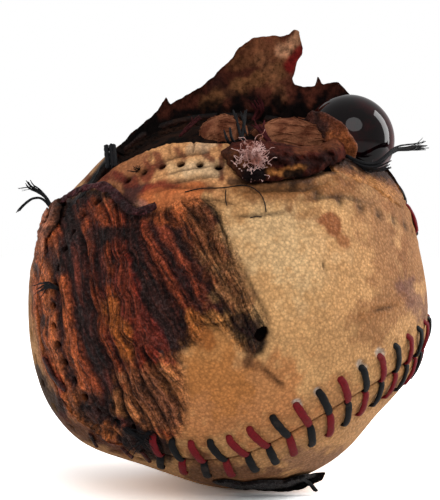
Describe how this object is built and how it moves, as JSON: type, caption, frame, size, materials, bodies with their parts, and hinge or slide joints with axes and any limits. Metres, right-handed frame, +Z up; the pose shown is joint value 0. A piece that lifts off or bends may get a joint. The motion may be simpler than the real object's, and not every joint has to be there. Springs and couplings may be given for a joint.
{
  "type": "baseball",
  "caption": "Old stitched leather ball with a torn, peeled cover, loose black threads, a dark glass dome in the tear and a cork, rubber and yarn core.",
  "frame": {"origin": "middle of the small flat at the bottom of the ball, on the surface that it rests on", "axes": "+Z up out of the resting flat through the ball's centre, -Y towards the side with the open seam and the tear, +X to the right seen from there"},
  "size_m": [0.0784, 0.0742, 0.0887],
  "materials": {
    "cork": "ground cork, matt",
    "black_rubber": "moulded, matt",
    "red_rubber": "moulded, matt",
    "grey_wool": "tightly wound wool yarn",
    "white_wool": "tightly wound wool yarn",
    "dark_yarn": "fine yarn, aged and stained",
    "tan_leather": "old horsehide, pebbled, creased, scorched at the left",
    "flesh_side": "raw suede side, torn edge",
    "charred_leather": "shrunken and dark",
    "orange_leather": "wrinkled, slightly waxy",
    "wine_glass": "polished, very dark wine red",
    "dome_backing": "near-black lacquer behind the glass",
    "red_thread": "waxed cotton, faded",
    "black_thread": "waxed cotton, frayed where cut"
  },
  "bodies": {
    "root": {"cork_centre": "cork", "black_rubber_half_left": "black_rubber", "black_rubber_half_right": "black_rubber", "black_rubber_washer": "red_rubber", "red_rubber_half_lower": "red_rubber", "red_rubber_half_upper": "red_rubber", "red_rubber_washer": "black_rubber", "first_winding": "grey_wool", "second_winding": "white_wool", "third_winding": "grey_wool", "finishing_winding": "dark_yarn", "pulled_wool": "dark_yarn", "front_panel": "tan_leather", "rear_panel": "tan_leather", "lifted_flap": "flesh_side", "rolled_lip": "flesh_side", "crumpled_corner": "charred_leather", "twisted_strip": "charred_leather", "bottom_scrap": "charred_leather", "glass_dome": "wine_glass", "dome_backing": "dome_backing", "dome_lid": "orange_leather", "red_stitches": "red_thread", "black_stitches": "black_thread", "torn_yarn": "red_thread", "mouth_tuft": "black_thread", "left_tuft": "black_thread", "dome_tuft": "black_thread", "hole_tufts": "black_thread", "upper_stub": "black_thread", "lower_stub": "black_thread", "loose_thread": "black_thread"}
  },
  "joints": []
}
